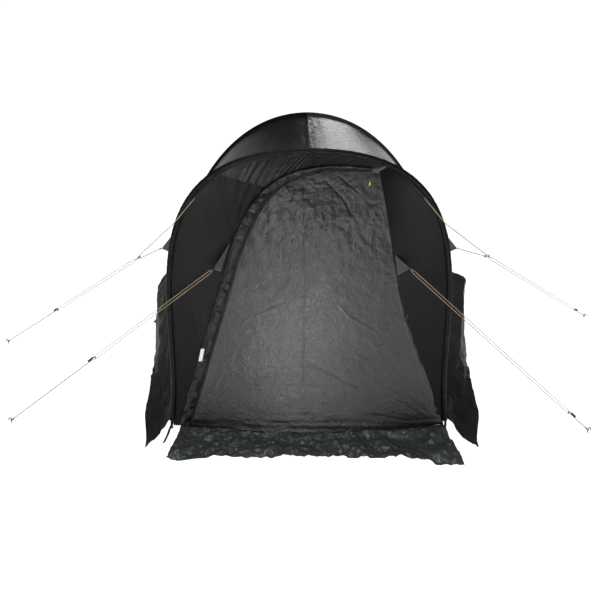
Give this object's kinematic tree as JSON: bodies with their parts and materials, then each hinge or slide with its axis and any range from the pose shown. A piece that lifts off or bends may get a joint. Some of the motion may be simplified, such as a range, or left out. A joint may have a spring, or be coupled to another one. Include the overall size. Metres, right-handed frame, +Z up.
{
  "type": "bivy shelter",
  "caption": "Low tunnel-shaped one-person bivy shelter with bent pole hoops, a side-hinged cloth door, snow skirts and guy lines.",
  "frame": {"origin": "on the ground at the middle of the whole footprint, pegs and skirts included", "axes": "+Z up; the door faces -Y, the foot end points to +Y; +X is to the right of someone who looks at the door"},
  "size_m": [2.775, 2.65, 1.0527],
  "materials": {
    "black_nylon": "coated black ripstop nylon with a soft sheen",
    "skirt_nylon": "crumpled coated nylon, greenish black",
    "pole_aluminium": "dark anodised tube",
    "tan_cord": "braided tan guy cord",
    "dark_steel": "blackened steel",
    "black_plastic": "moulded black nylon",
    "brass_zip": "plain brass slider"
  },
  "bodies": {
    "shelter": {"front_bay_panel_left": "black_nylon", "front_bay_panel_right": "black_nylon", "tail_panel_left": "black_nylon", "tail_panel_right": "black_nylon", "foot_end_panel": "black_nylon", "front_panel_left": "black_nylon", "front_panel_right": "black_nylon", "header_panel": "black_nylon", "door_storm_flap": "black_nylon", "front_pole_sleeve": "black_nylon", "main_pole_sleeve": "black_nylon", "foot_pole_sleeve": "black_nylon", "door_guy_patch_left": "black_nylon", "door_guy_patch_right": "black_nylon", "sleeve_guy_tab_left": "black_nylon", "sleeve_guy_tab_right": "black_nylon", "hoop_guy_patch_left": "black_nylon", "hoop_guy_patch_right": "black_nylon", "front_skirt": "skirt_nylon", "side_skirt_left": "skirt_nylon", "side_skirt_right": "skirt_nylon", "tail_skirt_left": "skirt_nylon", "tail_skirt_right": "skirt_nylon", "foot_end_skirt": "skirt_nylon", "front_hoop_pole": "pole_aluminium", "main_hoop_pole": "pole_aluminium", "foot_hoop_pole": "pole_aluminium", "front_guy_line_left": "tan_cord", "front_guy_line_right": "tan_cord", "hoop_guy_line_left": "tan_cord", "hoop_guy_line_right": "tan_cord", "guy_bridle_left": "tan_cord", "guy_bridle_right": "tan_cord", "front_peg_left": "dark_steel", "front_peg_right": "dark_steel", "hoop_peg_left": "dark_steel", "hoop_peg_right": "dark_steel", "guy_ring_left": "dark_steel", "guy_ring_right": "dark_steel", "front_line_lock_left": "black_plastic", "front_line_lock_right": "black_plastic", "hoop_line_lock_left": "black_plastic", "hoop_line_lock_right": "black_plastic", "tie_back_toggle": "black_plastic"},
    "door": {"door_panel": "black_nylon", "zip_slider": "brass_zip"}
  },
  "joints": [
    {"name": "door_swing", "type": "hinge", "parent": "shelter", "child": "door", "pos_m": [0.471, -1.083, 0.014], "axis": [-0.2594, 0.0124, 0.9657], "range_deg": [0, 130]}
  ]
}
